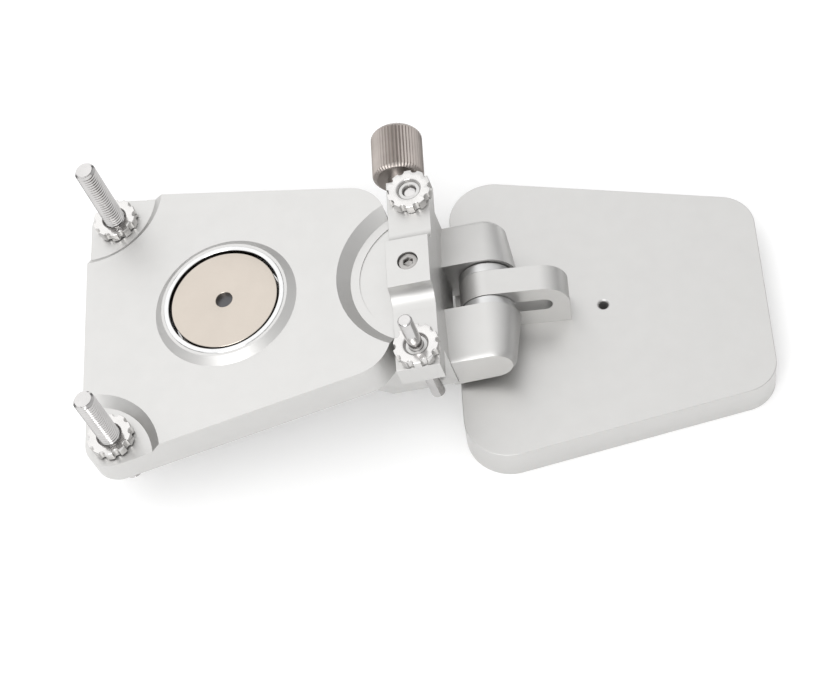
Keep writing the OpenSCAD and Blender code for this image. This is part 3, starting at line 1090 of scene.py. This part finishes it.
@dataclass
class Magnet:
    """The magnet's steel cup, its cream pole disc and the gap between them.

    Attributes:
        x: Place along the frame plate, from the hinge.
        disc_top: Height of the disc's face.
        cup_top: Height of the cup's rim.
        cup_low: Height of the cup's underside.
        disc_radius: Radius of the disc.
        disc_height: Thickness of the disc.
        hole: Radius of the disc's hole.
        hole_loose: How much wider the cup's hole is.
        cup_radius: Outer radius of the cup.
        wall: Thickness of the cup's wall.
        floor: Thickness of the cup's floor.
        edge: Length that eases a corner.
        sides: Points round the magnet.
    """

    x: float = -69.4
    disc_top: float = 22.7
    cup_top: float = 23.1
    cup_low: float = 15.4
    disc_radius: float = 15.2
    disc_height: float = 2.5
    hole: float = 2.35
    hole_loose: float = 0.4
    cup_radius: float = 17.3
    wall: float = 1.4
    floor: float = 1.5
    edge: float = 0.3
    sides: int = 128

    def build(self, seat: Seat) -> list[bpy.types.Object]:
        """Turns the disc and the cup and seats them.

        Args:
            seat: Where the frame plate stands.

        Returns:
            The two pieces.
        """
        disc_profile = [
            (self.hole, self.disc_height / 2),
            (self.hole, 0.0),
            (self.disc_radius, 0.0),
            (self.disc_radius, self.disc_height),
            (self.hole, self.disc_height),
            (self.hole, self.disc_height / 2 + SEAM),
        ]
        disc_seat = seat.place(self.x, 0.0, self.disc_top - self.disc_height)
        disc = finish_piece(
            "pole_disc_lapped",
            lathe(eased(disc_profile, self.edge), self.sides, loop=True),
            disc_seat,
            DISC_NICKEL.material(rigid(disc_seat)),
        )
        hand_over(disc, "frame", "magnet_nickel", "pole_disc")
        inner, high = self.cup_radius - self.wall, self.cup_top - self.cup_low
        screw_hole = self.hole + self.hole_loose
        cup_profile = [
            (screw_hole, self.floor / 2),
            (screw_hole, 0.0),
            (self.cup_radius, 0.0),
            (self.cup_radius, high),
            (inner, high),
            (inner, self.floor),
            (screw_hole, self.floor),
            (screw_hole, self.floor / 2 + SEAM),
        ]
        cup_seat = seat.place(self.x, 0.0, self.cup_low)
        cup = finish_piece(
            "magnet_cup_turned",
            lathe(eased(cup_profile, self.edge), self.sides, loop=True),
            cup_seat,
            CUP_STEEL.material(rigid(cup_seat)),
        )
        hand_over(cup, "frame", "bright_steel", "magnet_cup")
        return [disc, cup]


@dataclass
class Studio:
    """A pale floor, soft lights and the camera.

    Attributes:
        azimuth: Direction of the camera round the object, in degrees.
        elevation: Its height above the horizon, in degrees.
        roll: Its turn about the line of sight, in degrees.
        distance: Its distance from the target, in metres.
        lens: Focal length, in millimetres on a sensor 36 wide.
        target: Where the line of sight meets the floor.
        dim_side: Strength of the sky on its dim side.
        bright_side: Strength of the sky on its bright side.
        bright_way: Direction of the bright side.
        turnover: Reach of the change from dim to bright, either way.
        skyline: Share of the sky's strength that is left at the horizon.
        skyline_band: Heights between which the skyline clears.
        floor_reach: Half length of the floor, in metres.
        floor_tone: Base colour of the floor.
        floor_rough: Roughness of the floor.
        floor_glow: Strength of the floor's own light.
        clip: Nearest and farthest distances that the camera sees, in metres.
    """

    azimuth: float = 6.13
    elevation: float = 57.12
    roll: float = -10.85
    distance: float = 0.6522
    lens: float = 98.18
    target: tuple[float, float, float] = (-0.05294, 0.00152, 0.0)
    dim_side: float = 0.45
    bright_side: float = 1.25
    bright_way: tuple[float, float, float] = (-0.75, 0.25, 0.6)
    turnover: float = 0.6
    skyline: float = 0.22
    skyline_band: tuple[float, float] = (0.12, 0.42)
    floor_reach: float = 3.0
    floor_tone: float = 0.92
    floor_rough: float = 0.9
    floor_glow: float = 0.12
    clip: tuple[float, float] = (0.01, 20.0)

    def floor(self) -> None:
        """Lays a wide pale floor."""
        mesh = bpy.data.meshes.new("floor")
        reach = self.floor_reach
        corners = [(-reach, -reach, 0), (reach, -reach, 0), (reach, reach, 0), (-reach, reach, 0)]
        mesh.from_pydata(corners, [], [(0, 1, 2, 3)])
        paint = bpy.data.materials.new("floor")
        paint.use_nodes = True
        shader = paint.node_tree.nodes["Principled BSDF"]
        shader.inputs["Base Color"].default_value = (*[self.floor_tone] * 3, 1)
        shader.inputs["Roughness"].default_value = self.floor_rough
        shader.inputs["Emission Color"].default_value = (1.0, 1.0, 1.0, 1)
        shader.inputs["Emission Strength"].default_value = self.floor_glow
        mesh.materials.append(paint)
        piece = bpy.data.objects.new("floor", mesh)
        bpy.context.scene.collection.objects.link(piece)

    def light(self, name: str, place: tuple[float, float, float], size: float, power: float) -> None:
        """Hangs a square soft light that faces the object.

        Args:
            name: Name of the light.
            place: Where it hangs, in metres.
            size: Length of its side, in metres.
            power: Power in watts.
        """
        data = bpy.data.lights.new(name, "AREA")
        data.size, data.energy = size, power
        lamp = bpy.data.objects.new(name, data)
        lamp.location = place
        aim = Vector(self.target) - Vector(place)
        lamp.rotation_euler = aim.to_track_quat("-Z", "Y").to_euler()
        bpy.context.scene.collection.objects.link(lamp)

    def camera(self) -> None:
        """Sets the camera up and makes it the scene's."""
        a, e, r = (math.radians(v) for v in (self.azimuth, self.elevation, self.roll))
        back = Vector((math.sin(a) * math.cos(e), -math.cos(a) * math.cos(e), math.sin(e)))
        right = Vector((math.cos(a), math.sin(a), 0.0))
        up = back.cross(right)
        side = right * math.cos(r) + up * math.sin(r)
        top = up * math.cos(r) - right * math.sin(r)
        data = bpy.data.cameras.new("camera")
        data.lens, data.sensor_width = self.lens, 36.0
        data.clip_start, data.clip_end = self.clip
        eye = bpy.data.objects.new("camera", data)
        turn = Matrix((side, top, back)).transposed().to_4x4()
        turn.translation = Vector(self.target) + back * self.distance
        eye.matrix_world = turn
        bpy.context.scene.collection.objects.link(eye)
        bpy.context.scene.camera = eye

    def build(self) -> None:
        """Builds the whole stage."""
        self.floor()
        self.light("key", (-0.55, 0.35, 0.75), 0.8, 0.55)
        self.light("fill", (-0.25, -0.75, 0.7), 0.6, 3.2)
        world = bpy.data.worlds.new("studio")
        bpy.context.scene.world = world
        world.use_nodes = True
        tree = world.node_tree
        heading = tree.nodes.new("ShaderNodeVectorMath")
        heading.operation = "DOT_PRODUCT"
        heading.inputs[1].default_value = self.bright_way
        spread = tree.nodes.new("ShaderNodeMapRange")
        spread.inputs["From Min"].default_value = -self.turnover
        spread.inputs["From Max"].default_value = self.turnover
        spread.inputs["To Min"].default_value = self.dim_side
        spread.inputs["To Max"].default_value = self.bright_side
        around = tree.nodes.new("ShaderNodeTexCoord")
        tree.links.new(around.outputs["Generated"], heading.inputs[0])
        tree.links.new(heading.outputs["Value"], spread.inputs["Value"])
        height = tree.nodes.new("ShaderNodeSeparateXYZ")
        tree.links.new(around.outputs["Generated"], height.inputs["Vector"])
        band = tree.nodes.new("ShaderNodeMapRange")
        band.interpolation_type = "SMOOTHSTEP"
        band.inputs["From Min"].default_value = self.skyline_band[0]
        band.inputs["From Max"].default_value = self.skyline_band[1]
        band.inputs["To Min"].default_value = self.skyline
        band.inputs["To Max"].default_value = 1.0
        tree.links.new(height.outputs["Z"], band.inputs["Value"])
        both = tree.nodes.new("ShaderNodeMath")
        both.operation = "MULTIPLY"
        tree.links.new(spread.outputs["Result"], both.inputs[0])
        tree.links.new(band.outputs["Result"], both.inputs[1])
        tree.links.new(both.outputs["Value"], tree.nodes["Background"].inputs["Strength"])
        tree.nodes["Background"].inputs["Color"].default_value = (1.0, 1.0, 1.0, 1)
        bpy.context.scene.view_settings.view_transform = "Standard"
        self.camera()


def dress_plain(names: dict[str, Finish]) -> None:
    """Gives each carried-over node its material.

    Args:
        names: Node to its finish.
    """
    for node, metal in names.items():
        piece = frame["nodes"][node]
        piece.data.materials.clear()
        piece.data.materials.append(metal.material())
        log.info("%s is dressed in %s", node, metal.name)


def main() -> None:
    """Builds the articulator's pieces in order, then the studio."""
    logging.basicConfig(level=logging.INFO, format="%(message)s")
    seat = Seat.from_joints()
    threads, grooves = thread_tree(), groove_tree()
    plate, steel, nickel = BLASTED_PLATE.material(), BRIGHT_STEEL.material(), NUT_NICKEL.material()
    socket_steel, knob_steel = SOCKET_STEEL.material(), KNOB_STEEL.material()
    for node, body, chamfer in (
        ("base_plate", "base", 0.45),
        ("hinge_arm", "base", 0.3),
        ("frame_plate", "frame", 0.35),
        ("cross_bar", "frame", 0.3),
    ):
        MachinedPart(node, body, "plate_aluminium", chamfer).build(plate)
    washer_seat = Matrix.Translation(seat.hinge) @ Matrix.Rotation(math.pi / 2, 4, "X")
    washer = TURNED_WASHER.material(washer_seat)
    for node in ("near_washer", "far_washer"):
        MachinedPart(node, "frame", "turned_aluminium", chamfer=0.25).build(washer)

    spots = {
        key: seat.level(JOINTS[f"{key}_nut_turn"]["pos_m"]) for key in ("long", "short", "near", "far")
    }
    for key, ends in (("long", LONG_STUD_ENDS), ("short", SHORT_STUD_ENDS)):
        stud = ThreadedStud(f"{key}_stud", f"{key}_stud_body", spots[key].x, spots[key].y, *ends)
        stud.build(seat, threads, steel)
    for key, ends in (("near", NEAR_PIN_ENDS), ("far", FAR_PIN_ENDS)):
        pin = StopPin(f"{key}_stop_pin", f"{key}_pin_body", spots[key].x, spots[key].y, *ends)
        pin.build(seat, steel)
    for key, held, z in (
        ("long", "stud", CORNER_NUT_Z),
        ("short", "stud", CORNER_NUT_Z),
        ("near", "stop", BAR_NUT_Z),
        ("far", "stop", BAR_NUT_Z),
    ):
        nut = LockNut(f"{key}_{held}_nut", f"{key}_nut_body", spots[key].x, spots[key].y, z)
        nut.build(seat, grooves, nickel)
    knob_at = seat.level(JOINTS["knob_turn"]["pos_m"])
    knob_seat = seat.place(knob_at.x, KNOB_Y, knob_at.z) @ Matrix.Rotation(-math.pi / 2, 4, "X")
    ClampKnob().build(knob_seat, grooves, knob_steel)
    Magnet().build(seat)
    bar_screw = SocketScrew(
        "bar_screw", "frame", head=2.7, head_height=3.0, shank=1.5, length=20.2, across=2.5, socket=1.5
    )
    bar_screw.build(seat.place(*BAR_SCREW_AT), socket_steel)
    dress_plain(
        {
            "arm_screws": BLACK_OXIDE,
            "magnet_screw": BLACK_OXIDE,
            "pin_set_screw": BLACK_OXIDE,
            "hinge_bush": BUSH_BRONZE,
            "hinge_pin": BRIGHT_STEEL,
            "bar_dowels": BRIGHT_STEEL,
            "clamp_screw": BRIGHT_STEEL,
            "clamp_pad": PAD_BRASS,
            "ring_magnet": MAGNET_BLACK,
        }
    )
    Studio().build()
    bpy.context.view_layer.update()


if __name__ == "__main__":
    main()
